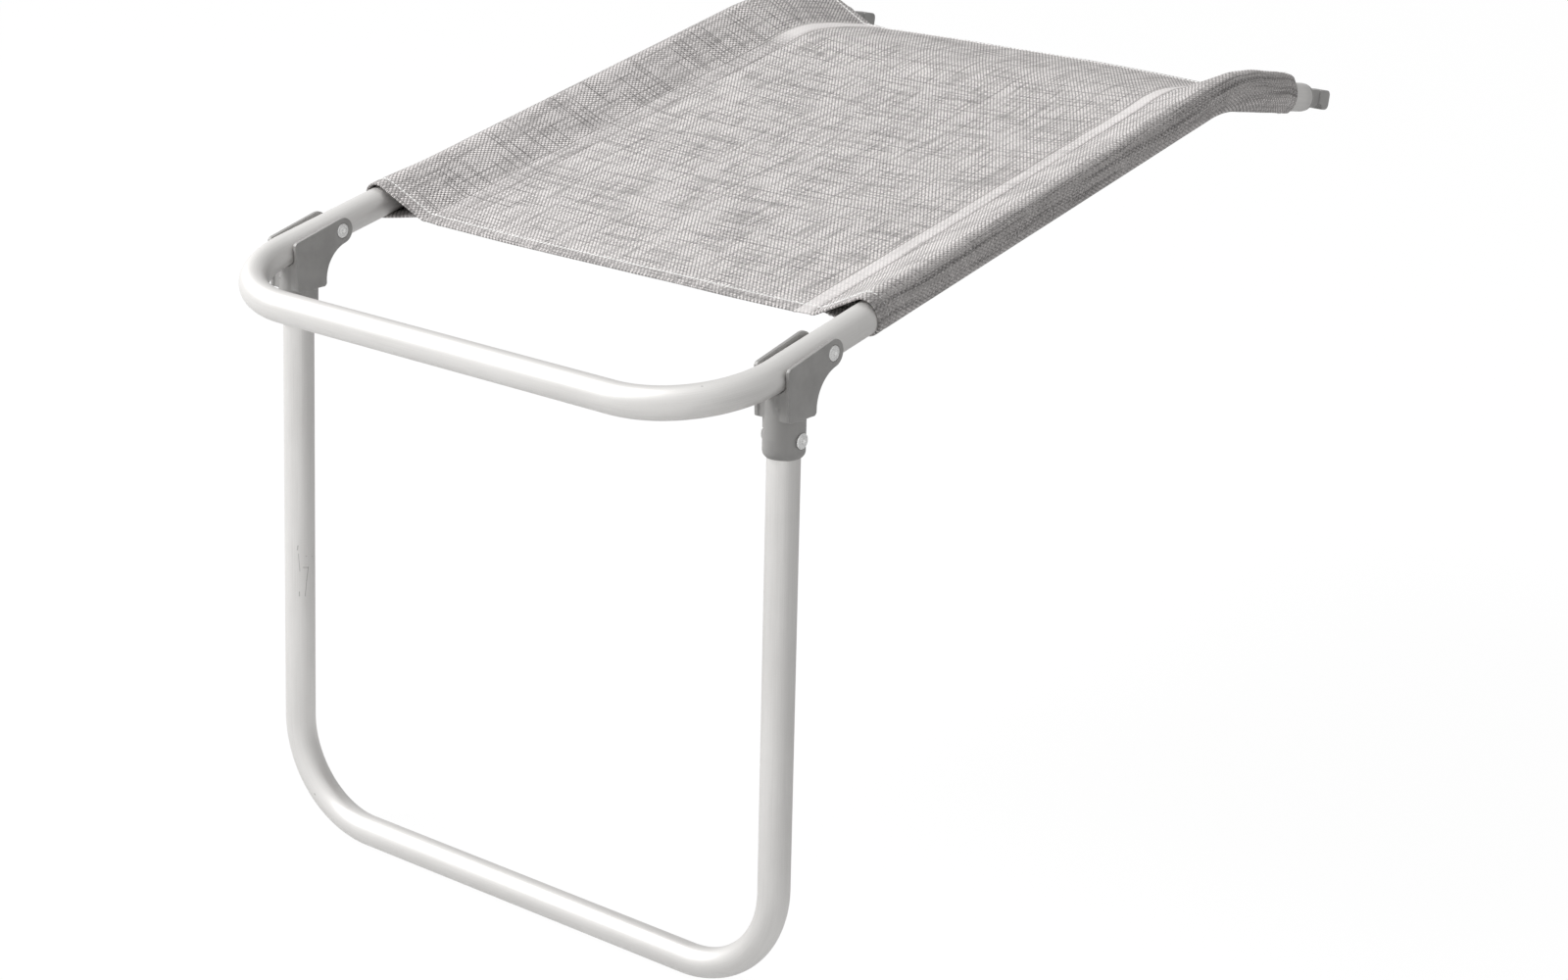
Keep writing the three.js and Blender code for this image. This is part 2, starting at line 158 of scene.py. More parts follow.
def stretched(place, *scales):
    """A place multiplied by one scale for each of its three ways."""
    return vector_math("MULTIPLY", place, scales)


def cloudy(place, detail=2.0, roughness=0.5):
    sockets = {"Vector": place, "Scale": 1.0, "Detail": detail, "Roughness": roughness}
    return place.node("TexNoise", {}, sockets)


def eased(value, low, high, start=0.0, end=1.0):
    """start where the value is low, end where it is high, and a smooth step between."""
    sockets = {"Value": value, "From Min": low, "From Max": high, "To Min": start, "To Max": end}
    return value.node("MapRange", {"interpolation_type": "SMOOTHSTEP"}, sockets)


def tinted(low, high, share):
    """A colour from low to high by share, each a colour or a wire."""
    return share.node("Mix", {"data_type": "RGBA"}, {"Factor": share, "A": low, "B": high})


def bumped(height, strength, distance):
    return height.node("Bump", {}, {"Strength": strength, "Distance": distance, "Height": height})


scratch_grey = (0.4, 0.39, 0.38)
handling_marks = [
    ((-196.1, -617.9, -244.5), (-196.4, -618.2, -247.3), 0.5),
    ((-196.0, -618.0, -250.1), (-195.5, -618.0, -262.5), 0.3),
    ((-193.2, -614.1, -252.3), (-192.8, -608.4, -254.0), 0.35),
    ((-194.1, -616.0, -260.0), (-192.9, -612.8, -260.7), 0.5),
    ((-192.9, -612.8, -260.7), (-193.3, -614.4, -269.5), 0.45),
    ((-193.3, -614.4, -269.5), (-193.8, -616.0, -280.4), 0.4),
    ((-196.0, -619.0, -277.1), (-196.1, -619.1, -279.9), 0.5),
    ((-181.4, -629.0, -417.6), (-180.6, -628.6, -418.4), 0.7),
    ((184.7, -657.1, -40.2), (185.3, -656.7, -40.6), 0.6),
]  # scratches on the skin: both ends in the row's frame and the width, in millimetres


def from_line(place, one, other):
    """Distance of a place from a straight mark between two others."""
    way = Vector(other) - Vector(one)
    offset = vector_math("SUBTRACT", place, one)
    share = vector_math("DOT_PRODUCT", offset, way / way.length_squared)
    share = share.math("MAXIMUM", 0.0).math("MINIMUM", 1.0)
    reach = share.node("VectorMath", {"operation": "SCALE"}, {0: way, "Scale": share})
    return vector_math("DISTANCE", offset, reach)


def satin_silver(start):
    in_row_mm = stretched(start.node("TexCoord", output=3), 1000, 1000, 1000)
    scratches = 0.0
    for one, other, width in handling_marks:
        scratches = eased(from_line(in_row_mm, one, other), 0.35 * width, width, 1.0, 0.0) + scratches
    place = attribute(start, "skin_mm")
    streaks = cloudy(stretched(place, 2.2, 2.2, 0.018), 3.0, 0.6)
    blotches = cloudy(stretched(place, 0.05, 0.05, 0.014), 3.0, 0.6)
    grain = cloudy(stretched(place, 3.5, 3.5, 2.0), 2.0, 0.7)
    tone = streaks * 0.35 + blotches * 0.4 + grain * 0.25
    skin = tinted(shaded_silver, silver, eased(tone, 0.3, 0.62))
    return {
        "Base Color": tinted(skin, scratch_grey, scratches * 0.7),
        "Roughness": eased(tone, 0.3, 0.7, 0.47, 0.39),
        "Normal": bumped(streaks * 0.5 + grain, 0.12, 0.00004),
    }


satin_surface = {"Metallic": 0.7, "Specular IOR Level": 0.5}
satin_aluminium = finish("satin_anodised_aluminium", satin_surface, satin_silver)


def bent_rings(corners, radii):
    """Rings of a bent tube: place, side, inward side of the bend, flattening and length so far."""
    heading = (corners[1] - corners[0]).normalized()
    side = heading.orthogonal().normalized()
    inward = side
    start = corners[0]
    length = 0.0
    rings = []

    def straight(end, last):
        steps = math.ceil((end - start).length / run_step)
        for k in range(steps + last):
            place = start.lerp(end, k / steps)
            rings.append((place, heading, side, inward, 0.0, length + (place - start).length))

    for corner, after, radius in zip(corners[1:-1], corners[2:], radii):
        after_heading = (after - corner).normalized()
        angle = heading.angle(after_heading)
        axis = heading.cross(after_heading).normalized()
        inward = axis.cross(heading)
        bend_start = corner - heading * (radius * math.tan(angle / 2))
        straight(bend_start, 0)
        length += (bend_start - start).length
        centre = bend_start + inward * radius
        steps = math.ceil(angle / bend_step)
        for k in range(steps + 1):
            share = k / steps
            turn = Matrix.Rotation(angle * share, 3, axis)
            flat = bend_flattening * min(1.0, bend_ramp * min(share, 1 - share))
            place = centre + turn @ (bend_start - centre)
            if k < steps:
                so_far = length + radius * angle * share
                rings.append((place, turn @ heading, turn @ side, turn @ inward, flat, so_far))
        length += radius * angle
        start = place
        heading = turn @ heading
        side = turn @ side
    straight(corners[-1], 1)
    return rings


def grid_faces(rows, columns, closed_rows=False, closed_columns=False):
    """Quads over a grid of points, joined to its own start where it is closed."""
    faces = []
    for i in range(rows if closed_rows else rows - 1):
        below = i * columns
        above = (i + 1) % rows * columns
        for j in range(columns if closed_columns else columns - 1):
            beside = (j + 1) % columns
            faces.append((below + j, below + beside, above + beside, above + j))
    return faces


def added_object(name, data):
    made = bpy.data.objects.new(name, data)
    bpy.context.scene.collection.objects.link(made)
    return made


def new_piece(name, points, faces, material, **attributes):
    """An object in the row's frame, with its faces turned outwards, smooth, and its named places stored."""
    mesh = bpy.data.meshes.new(name)
    mesh.from_pydata([tuple(p) for p in points], [], faces)
    for label, values in attributes.items():
        stored = mesh.attributes.new(label, "FLOAT_VECTOR", "POINT")
        stored.data.foreach_set("vector", np.asarray(values, dtype=np.float32).ravel())
    shell = bmesh.new()
    shell.from_mesh(mesh)
    bmesh.ops.recalc_face_normals(shell, faces=shell.faces)
    shell.to_mesh(mesh)
    shell.free()
    mesh.polygons.foreach_set("use_smooth", [True] * len(mesh.polygons))
    mesh.materials.append(material)
    return added_object(name, mesh)


def bent_tube(name, rings, placed):
    """A tube with a wall and two cut ends. placed turns a ring's own place into the row's frame."""
    inner = tube_radius - tube_wall
    first, last = rings[0], rings[-1]
    rows = [(first, tube_radius, tube_lip)]
    rows += [(ring, tube_radius, 0.0) for ring in rings[1:-1]]
    rows += [(last, tube_radius, -tube_lip), (last, tube_radius - tube_lip, 0.0)]
    rows += [(last, inner + tube_lip, 0.0), (last, inner, -tube_lip)]
    rows += [(ring, inner, 0.0) for ring in rings[-2:0:-1]]
    rows += [(first, inner, tube_lip), (first, inner + tube_lip, 0.0), (first, tube_radius - tube_lip, 0.0)]
    points = []
    skin = []
    for (place, heading, side, inward, flat, length), radius, shift in rows:
        other = heading.cross(side)
        for j in range(tube_sides):
            angle = 2 * math.pi * j / tube_sides
            spoke = side * math.cos(angle) + other * math.sin(angle)
            towards = spoke.dot(inward)
            spoke = spoke * (1 + bend_widening * flat) - inward * ((1 + bend_widening) * flat * towards)
            points.append(placed(place + heading * shift + spoke * radius))
            skin.append((radius / mm * math.cos(angle), radius / mm * math.sin(angle), (length + shift) / mm))
    faces = grid_faces(len(rows), tube_sides, True, True)
    return new_piece(name, points, faces, satin_aluminium, skin_mm=skin)


def rail_corners(side):
    run = rear_tangent + rear_run
    bend = Vector((side * rail_x, rail_run + rear_tangent, 0))
    end = bend + Vector((0, run * math.cos(rear_bend), -run * math.sin(rear_bend)))
    return [end, bend, Vector((side * rail_x, -rail_nose - front_corner_radius, 0))]


top_rings = bent_rings(
    rail_corners(-1) + rail_corners(1)[::-1],
    [rear_bend_radius, front_corner_radius, front_corner_radius, rear_bend_radius],
)
top_tube = bent_tube("bent_top_tube", top_rings, in_rails)
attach(top_tube, "seat_frame")
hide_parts("top_frame_tube")


# Mesh sling: one rectangle of coated yarn mesh. Both ends are folded under and sewn as hems, then each long
# side is taken round its rail and sewn back under the panel, which leaves a flap below and a sleeve round
# the rail.
cloth_thickness = 0.75 * mm
mouth_pull = 9 * mm  # the rear mouths' outer sides sit this much further in than their tops
mouth_pull_range = (rail_x - 4 * mm, rail_x + 11 * mm)  # the pull grows across these
mouth_run = 60 * mm  # what is shaped at a sleeve's mouth fades out over this length
layer = 0.85 * mm  # one sewn layer to the next
hem_width = 11 * mm
hem_thread_inset = 9 * mm
sling_start = 46 * mm  # pivots to the front hem
sling_end_gap = 16.4 * mm  # rear hem to the tube's end
sling_end = rail_run + rear_bend_radius * rear_bend + rear_run - sling_end_gap
seam_inset = 38 * mm
seam_x = rail_x - seam_inset
flap_width = 17 * mm
seam_thread_inset = 2 * mm
seam_thread_x = (seam_x - seam_thread_inset, seam_x - flap_width + seam_thread_inset)
stitch_groove = 0.35 * mm
groove_width = 1.0 * mm
front_seam_drop = 4.8 * mm  # seam below the rails' centres at the front hem
seam_lift_run = (405 * mm, 500 * mm)  # the seams come up to the rails' level between these
front_sag = 1.2 * mm  # middle of the panel below the seams there
bend_sag = 6.5 * mm
bend_sag_run = (60 * mm, 400 * mm)
rear_sag = -2.4 * mm
rear_sag_start = 430 * mm
band_rise = 1.6 * mm  # the double layer rises this much towards the seam
band_rise_run = (60 * mm, 200 * mm)
sleeve_radius = 11.1 * mm  # middle of the cloth round the rail
front_slack = 2.2 * mm  # the sleeve's mouth stands this far off the rail's top
rear_slack = 5.2 * mm
rear_slack_start = 425 * mm
rear_slack_full = 485 * mm
rear_closing = 0.3  # share of the rear slack that is lost again towards the hem
rear_closing_start = 530 * mm
sleeve_columns = 52
flap_tuck = 9 * mm  # each flap's front end is folded back this much further than the panel's
tuck_columns = 20  # the tuck fades out over this many columns past the flap
yarn_across = 1.36  # millimetres from one lengthwise yarn to the next
yarn_along = 2.0  # millimetres from one crosswise yarn to the next
yarn_bow = 0.00006  # crosswise yarns bend back this much for each square millimetre from the middle
pale_yarn = (0.93, 0.89, 0.88)
dull_yarn = (0.56, 0.535, 0.528)
grey_yarn = (0.34, 0.325, 0.32)
dark_yarn = (0.15, 0.143, 0.141)
shadow_gap = (0.05, 0.048, 0.047)
# The next two colour the painted shade on each sleeve's outer side, in pale and dark streaks.
outer_shade_pale = (0.66, 0.632, 0.622)
shaded_yarn = (0.09, 0.086, 0.084)
# The next two are the sewn seam bands' colours: painted shade on the left, a near-white painted sheen on the
# right.
shaded_band = (0.46, 0.44, 0.435)
sheen_band = (0.84, 0.81, 0.8)
# The next four are in millimetres of the flat cloth, across from its middle or along it.
seam_groove_shade = ((160.2, 0.35, 0.9, 1.0), (147.4, 0.3, 0.8, 0.7))  # painted shade in the stitch grooves on the left: place, core, edge, darkness
band_edges = (144.0, 151.0, 156.5, 163.5)  # the sewn band fades in and out
outer_edges = (202.0, 210.0, 221.0, 230.0)  # each sleeve's outer side, darkened with painted shade and streaks, fades in and out
hem_edge = (54.0, 55.5)  # the front hem's darker strip ends at its thread


def ease(value, low, high):
    share = np.clip((value - low) / (high - low), 0.0, 1.0)
    return share * share * (3 - 2 * share)


def rail_station(along):
    """The rail's centre and direction at a length from the pivots: (along, up, downward turn)."""
    bend_length = rear_bend_radius * rear_bend
    turn = min(max(along - rail_run, 0.0) / rear_bend_radius, rear_bend)
    beyond = max(along - rail_run - bend_length, 0.0)
    centre_along = min(along, rail_run) + rear_bend_radius * math.sin(turn) + beyond * math.cos(turn)
    centre_up = -rear_bend_radius * (1 - math.cos(turn)) - beyond * math.sin(turn)
    return centre_along, centre_up, turn


def wavy(*place):
    return noise.noise(Vector(place))


def seam_level(along):
    return -front_seam_drop * (1 - ease(along, *seam_lift_run))


def panel_level(x, along):
    """Height of the panel over the rails' centres: sagged, with a rise to each seam and shallow waves."""
    sag = front_sag + (bend_sag - front_sag) * ease(along, *bend_sag_run)
    sag = sag + (rear_sag - bend_sag) * ease(along, rear_sag_start, sling_end)
    share = np.abs(x) / seam_x
    band = ease(np.abs(x), seam_x - flap_width - 2 * mm, seam_x)
    rise = band_rise * (0.3 + 0.7 * ease(along, *band_rise_run))
    level = seam_level(along) - sag * (1 - share**2) - rise * (1 - band)
    broad = np.array([0.9 * wavy(p / 0.15, along / 0.07, 3.0) for p in x])
    narrow = np.array([0.3 * wavy(p / 0.05, along / 0.03, 8.0) for p in x])
    level = level + mm * (broad + narrow) * (1 - share**4)
    for thread_x in seam_thread_x:
        level = level - stitch_groove * np.exp(-(((np.abs(x) - thread_x) / groove_width) ** 2))
    return level


def slack(along):
    kept = 1 - rear_closing * ease(along, rear_closing_start, sling_end)
    rear = rear_slack * ease(along, rear_slack_start, rear_slack_full) * kept
    return rear + front_slack * (1 - ease(along, sling_start, sling_start + mouth_run))


def sleeve_outline(side, along):
    """The cloth round a rail as places (out, up) from the rail's centre, taut below and slack on top."""
    angles = np.radians(np.arange(0, 360, 2.5))
    top = np.clip(np.cos(angles - math.radians(100)), 0, 1) ** 1.3

    def ripples(turns, drift, seed):
        places = [(turns * math.cos(a), turns * math.sin(a) + along / drift) for a in angles]
        return np.array([wavy(*place, seed * side) for place in places])

    creased = ease(along, rear_slack_start, rear_slack_full) * 0.75 + 0.1
    folds = ripples(2.2, 0.021, 5.0) + 0.5 * ripples(4.5, -0.011, 9.0) + 0.35
    folds = creased * mm * folds * np.clip(top + 0.25, 0, 1)
    radius = sleeve_radius + slack(along) * top + folds
    return np.stack([radius * np.cos(angles), radius * np.sin(angles)], axis=1)


def lengths(line):
    """The length so far at each point of a line."""
    return np.concatenate([[0], np.cumsum(np.linalg.norm(np.diff(line, axis=0), axis=1))])


def resampled(line, count):
    """Evenly spaced points of a line, without its first."""
    length = lengths(line)
    places = np.linspace(0, length[-1], count + 1)[1:]
    return np.stack([np.interp(places, length, line[:, k]) for k in range(2)], axis=1)


def half_section(side, along, columns):
    """Half the cloth's section, out over the rail and back under it to the flap's edge: (x, up) points."""
    drop = layer * (1 + 2 * (1 - ease(along, sling_start + hem_width, sling_start + 2 * hem_width)))
    drop = drop + layer * 2 * ease(along, sling_end - 2 * hem_width, sling_end - hem_width)
    panel = np.stack([columns, panel_level(side * columns, along)], axis=1)
    seam = np.array([seam_x, panel[-1, 1]])
    under_seam = seam - [0, drop]
    outline = sleeve_outline(side, along) + [rail_x, 0]
    rise = np.arctan2(outline[:, 1] - seam[1], outline[:, 0] - seam[0])
    fall = np.arctan2(outline[:, 1] - under_seam[1], outline[:, 0] - under_seam[0])
    over, under = int(rise.argmax()), int(fall.argmin())
    round_rail = [outline[k % len(outline)] for k in range(over + len(outline), under - 1, -1)]
    loop = resampled(np.array([seam, *round_rail, under_seam]), sleeve_columns)
    flap_x = columns[columns > seam_x - flap_width][::-1][1:]
    flap = np.stack([flap_x, panel_level(side * flap_x, along) - drop], axis=1)
    return np.concatenate([panel, loop, flap])


def spaced(low, high, step, fine_places):
    """Places at an even step, closer by each of the fine places."""
    even = np.linspace(low, high, math.ceil((high - low) / step) + 1)
    fine = [place + offset * groove_width for place in fine_places for offset in (-1.6, -0.8, 0, 0.8, 1.6)]
    kept = [p for p in even if all(abs(p - f) > 0.5 * groove_width for f in fine)]
    return np.array(sorted(kept + [f for f in fine if low < f < high]))


half_columns = spaced(0, seam_x, 4.2 * mm, [*seam_thread_x, seam_x - flap_width])


def cloth_section(along):
    """The whole section from the left flap's edge to the right one: points, normals and cut widths."""
    left = half_section(-1, along, half_columns)[::-1] * [-1, 1]
    right = half_section(1, along, half_columns)
    line = np.concatenate([left, right[1:]])
    ahead = np.roll(line, -1, axis=0)
    behind = np.roll(line, 1, axis=0)
    behind[0] = line[0]
    ahead[-1] = line[-1]
    way = ahead - behind
    way /= np.linalg.norm(way, axis=1)[:, None]
    width = lengths(line)
    return line, np.stack([-way[:, 1], way[:, 0]], axis=1), width - width[len(left) - 1]


def cloth_place(along, point):
    """A section's (x, up) point at a length along the rails, in the row's frame."""
    outer_side = ease(abs(point[0]), *mouth_pull_range)
    pull = mouth_pull * outer_side * ease(along, sling_end - mouth_run, sling_end)
    centre_along, centre_up, turn = rail_station(along - pull)
    x, up = point
    return in_rails((x, centre_along + up * math.sin(turn), centre_up + up * math.cos(turn)))


def hem_rows(edge, inwards):
    """Rows of a hem from its raw edge to its fold: (along, depth in layers, place in the flat cut)."""
    fold = edge + inwards * layer / 2
    hidden = np.linspace(fold + inwards * hem_width, fold, 5)
    rows = [(along, 1.0, 2 * fold - along) for along in hidden]
    for angle in np.radians((30, 60, 90, 120, 150)):
        reach = layer / 2 * math.sin(angle)
        rows.append((fold - inwards * reach, (1 + math.cos(angle)) / 2, fold - inwards * reach / 2))
    return rows


hem_threads = (sling_start + hem_thread_inset, sling_end - hem_thread_inset)
stations = spaced(sling_start + layer / 2, sling_end - layer / 2, 4.4 * mm, hem_threads)
cloth_rows = hem_rows(sling_start, 1) + [(s, 0.0, s) for s in stations] + hem_rows(sling_end, -1)[::-1]
cloth_points = []
cut_places = []
flap_columns = len(half_columns[half_columns > seam_x - flap_width]) - 1
for along, depth, cut_along in cloth_rows:
    line, normals, width = cloth_section(along)
    pressed = sum(math.exp(-(((along - thread) / groove_width) ** 2)) for thread in hem_threads)
    line = line - normals * (depth * layer + (1 - depth) * pressed * stitch_groove)
    from_edge = np.minimum(np.arange(len(line)), np.arange(len(line))[::-1])
    on_flap = ease(flap_columns + tuck_columns - from_edge, 0, tuck_columns)
    tuck = flap_tuck * on_flap * (1 - ease(along, sling_start, sling_start + mouth_run))
    cloth_points += [cloth_place(along + back, point) for point, back in zip(line, tuck)]
    cut_places += [(w / mm, cut_along / mm, 0) for w in width]


def joined(*ways):
    """A place from its three ways, the first of them a wire."""
    return ways[0].node("CombineXYZ", {}, dict(enumerate(ways)))


def woven_mesh(start):
    across, along, _ = start.node("SeparateXYZ", {}, {0: attribute(start, "cut_mm")}, None)
    bow = across * across * yarn_bow
    column = across / yarn_across
    row = (along - bow) / yarn_along
    column_cell = column.math("FLOOR")
    row_cell = row.math("FLOOR")
    in_column = column - column_cell - 0.5
    in_row = row - row_cell - 0.5
    lengthwise_wave = ((row - 0.5 + column_cell) * math.pi).math("COSINE")
    crosswise_wave = ((column - 0.5 + row_cell) * math.pi).math("COSINE")
    lengthwise = lengthwise_wave * 0.62 - in_column * in_column * 3.0
    crosswise = crosswise_wave * -0.5 - in_row * in_row * 3.2
    on_top = eased(lengthwise - crosswise, -0.15, 0.1)
    height = lengthwise.math("MAXIMUM", crosswise)

    def yarn_tone(cell, run, seed):
        return cloudy(joined(cell * 7.31, run, seed), 1.0, 0.5)

    patches = cloudy(joined(across * 0.022, along * 0.03, 4.0), 3.0, 0.6)
    lengthwise_tone = yarn_tone(column_cell, along * 0.03, 1.0) + patches * 0.1
    crosswise_tone = yarn_tone(row_cell, across * 0.014, 20.0) + patches * 0.1
    row_line = eased(in_row * in_row, 0.03, 0.14, 1.0, 0.0)
    column_line = eased(in_column * in_column, 0.03, 0.14, 1.0, 0.0)
    dark_row = eased(yarn_tone(row_cell, across * 0.02, 40.0), 0.53, 0.64) * row_line
    dark_column = eased(yarn_tone(column_cell, along * 0.015, 60.0), 0.55, 0.66) * column_line
    pale = tinted(dull_yarn, pale_yarn, eased(lengthwise_tone, 0.35, 0.62))
    grey = tinted(dark_yarn, grey_yarn, eased(crosswise_tone, 0.3, 0.6))
    woven = tinted(grey, pale, on_top)
    woven = tinted(shadow_gap, woven, eased(height, -0.7, -0.12))
    woven = tinted(woven, dark_yarn, dark_row * 0.6 + dark_column * 0.5)
    from_middle = across.math("ABSOLUTE")
    streaks = cloudy(joined(across * 0.28, along * 0.006, 70.0), 4.0, 0.75)
    specks = cloudy(joined(across * 1.4, along * 0.55, 80.0), 2.0, 0.7)
    # Painted shade: each sleeve's outer side, where the mesh is stretched round the rail, is darkened, with
    # dark streaks and a few pale rows in it.
    outer_shade = tinted(shaded_yarn, outer_shade_pale, eased(streaks * 0.6 + specks * 0.4, 0.43, 0.6))
    outer_face = eased(from_middle, *outer_edges[:2]) * eased(from_middle, *outer_edges[2:], 1.0, 0.45)
    row_middle = eased(in_row * in_row, 0.004, 0.02, 1.0, 0.0)
    light_row = eased(yarn_tone(row_cell, across * 0.03, 90.0), 0.6, 0.66) * row_middle
    woven = tinted(woven, outer_shade, outer_face * 0.72)
    woven = tinted(woven, shaded_yarn, outer_face * eased(streaks, 0.5, 0.6, 0.0, 0.35))
    woven = tinted(woven, pale_yarn, outer_face * light_row * 0.3)
    hem_strip = eased(along, *hem_edge, 1.0, 0.0)
    woven = tinted(woven, dark_yarn, hem_strip * 0.14)
    seam_edge = from_middle + (patches - 0.5) * 4.0
    band = eased(seam_edge, *band_edges[:2]) * eased(seam_edge, *band_edges[2:], 1.0, 0.0)
    # The sewn double layer flattens the weave. On top of that the right band gets a painted sheen, strongest
    # near the front and the rear, and the left band painted shade, except where its rear end turns up to the
    # light.
    on_right = across.math("GREATER_THAN", 0.0)
    right_band_sheen = eased(along, 110.0, 250.0, 0.66, 0.34) + eased(along, 340.0, 420.0, 0.0, 0.4)
    turned_up = eased(along, 400.0, 436.0)  # the left seam's rear end turns up to the light
    band_share = band * (on_right * right_band_sheen + (1 - on_right) * (0.16 + turned_up * 0.7))
    # Painted shade in the stitch grooves of the left seam band; the right seam gets none.
    painted_crease_shade = 0.0
    for place, core, edge, darkness in seam_groove_shade:
        painted_crease_shade = eased((from_middle - place).math("ABSOLUTE"), core, edge, darkness, 0.0) + painted_crease_shade
    woven = tinted(woven, dark_yarn, painted_crease_shade * (1 - on_right) * 0.5)
    lit_band = on_right.math("MAXIMUM", turned_up)
    return {
        "Base Color": tinted(woven, tinted(shaded_band, sheen_band, lit_band), band_share),
        "Roughness": eased(height, -0.6, 0.5, 0.85, 0.6),
        "Normal": bumped(height * (1 - band_share * 0.8), 0.5, 0.0003),
    }


mesh_cloth = finish("woven_mesh_cloth", {"Specular IOR Level": 0.3}, woven_mesh)
sling = new_piece(
    "sling_cloth", cloth_points, grid_faces(len(cloth_rows), len(width)), mesh_cloth, cut_mm=cut_places
)
doubled = sling.modifiers.new("cloth_thickness", "SOLIDIFY")
doubled.thickness = cloth_thickness
doubled.offset = 0
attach(sling, "seat_frame")
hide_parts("sling")


# Sewing: white lockstitch across both hems, sleeves and all, and two grey rows along each side seam. A row is
# single stitches, each pulled into the cloth at its ends.
stitch_length = 3.25 * mm
stitch_pitch = 3.4 * mm
hem_thread_radius = 0.6 * mm
seam_thread_radius = 0.2 * mm
thread_sides = 6
thread_arch = 0.4 * mm
outer_bite = 0.85 * mm  # the hem's stitches bite this much deeper on the sleeves' outer sides
both_sides = (("left", -1), ("right", 1))
thread_white = (0.95, 0.945, 0.935)
thread_grey = (0.68, 0.655, 0.645)
stitch_spine = [
    (0, -0.9, 0.7), (0.08, 0.1, 0.9), (0.3, 0.9, 1), (0.7, 0.95, 1), (0.92, 0.1, 0.9), (1, -0.9, 0.7),
]  # shares of the stitch's length, of its arch and of the thread's radius


def renumbered(faces, first):
    return [tuple(k + first for k in face) for face in faces]


def stitch_row(name, line, ups, thread_radius, material, node):
    """Stitches along a line of places with its upward directions, as one piece."""
    length = lengths(line)
    points = []
    faces = []
    twist = []
    count = int(length[-1] / stitch_pitch)
    for k in range(count):
        start = (length[-1] - count * stitch_pitch) / 2 + (k + 0.5) * stitch_pitch - stitch_length / 2
        spine = []
        for share, rise, girth in stitch_spine:
            at = start + share * stitch_length
            place = Vector([np.interp(at, length, line[:, i]) for i in range(3)])
            up = Vector([np.interp(at, length, ups[:, i]) for i in range(3)]).normalized()
            spine.append((place + up * (rise * thread_arch), up, girth * thread_radius))
        way = (spine[-1][0] - spine[0][0]).normalized()
        first = len(points)
        for place, up, girth in spine:
            beside = way.cross(up)
            for j in range(thread_sides):
                angle = 2 * math.pi * j / thread_sides
                points.append(place + (beside * math.cos(angle) + up * math.sin(angle)) * girth)
                twist.append((angle, (place - spine[0][0]).length / mm, k))
        faces += renumbered(grid_faces(len(spine), thread_sides, False, True), first)
        faces.append(tuple(range(first, first + thread_sides)))
        faces.append(tuple(range(len(points) - thread_sides, len(points))))
    row = new_piece(name, points, faces, material, twist_mm=twist)
    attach(row, "seat_frame")
    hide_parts(node)
    return row


def twisted(shade, dark):
    def paint(start):
        angle, along, stitch = start.node("SeparateXYZ", {}, {0: attribute(start, "twist_mm")}, None)
        ply = (angle * 2.0 + along * 5.5).math("SINE")
        fuzz = cloudy(joined(stitch * 3.7, along, angle * 0.4), 2.0, 0.6)
        return {
            "Base Color": tinted(dark, shade, eased(ply * 0.3 + fuzz, 0.1, 0.6)),
            "Roughness": eased(fuzz, 0.3, 0.7, 0.7, 0.9),
            "Normal": bumped(ply, 0.35, 0.0001),
        }
    return paint


white_thread = finish("white_thread", {"Specular IOR Level": 0.3}, twisted(thread_white, (0.78, 0.77, 0.755)))
grey_thread = finish("grey_thread", {"Specular IOR Level": 0.3}, twisted(thread_grey, (0.52, 0.5, 0.49)))


def on_cloth(along, k):
    """The cloth's surface and upward direction at one column of a section."""
    line, normals, _ = cloth_section(along)
    place = cloth_place(along, line[k] + normals[k] * 0.5 * cloth_thickness)
    return place, (cloth_place(along, line[k] + normals[k] * mm) - cloth_place(along, line[k])) / mm


def hem_stitches(along):
    line, normals, _ = cloth_section(along)
    columns = range(flap_columns + 1, len(line) - flap_columns - 1)
    bite = stitch_groove + outer_bite * ease(np.abs(line[:, :1]), rail_x, rail_x + 5 * mm)
    settled = line - normals * bite
    places = [cloth_place(along, settled[k] + normals[k] * cloth_thickness / 2) for k in columns]
    lifted = [cloth_place(along, settled[k] + normals[k] * (cloth_thickness / 2 + mm)) for k in columns]
    return np.array(places), np.array(lifted) - np.array(places)


def seam_stitches(side, thread_x):
    middle = flap_columns + sleeve_columns + len(half_columns) - 1
    offset = int(np.abs(half_columns - thread_x).argmin())
    pairs = [on_cloth(along, middle + side * offset) for along in stations[::2]]
    return np.array([p for p, _ in pairs]), np.array([u for _, u in pairs])


for word, along in zip(("front", "rear"), hem_threads):
    row = stitch_row(
        f"{word}_hem_stitches", *hem_stitches(along), hem_thread_radius, white_thread, f"hem_thread_{word}"
    )
for word, side in both_sides:
    for place, thread_x in zip(("outer", "inner"), seam_thread_x):
        row = stitch_row(
            f"{place}_seam_stitches_{word}", *seam_stitches(side, thread_x), seam_thread_radius, grey_thread,
            f"seam_thread_{place}_{word}",
        )
cloth_rows[-1][2] - cloth_rows[0][2]


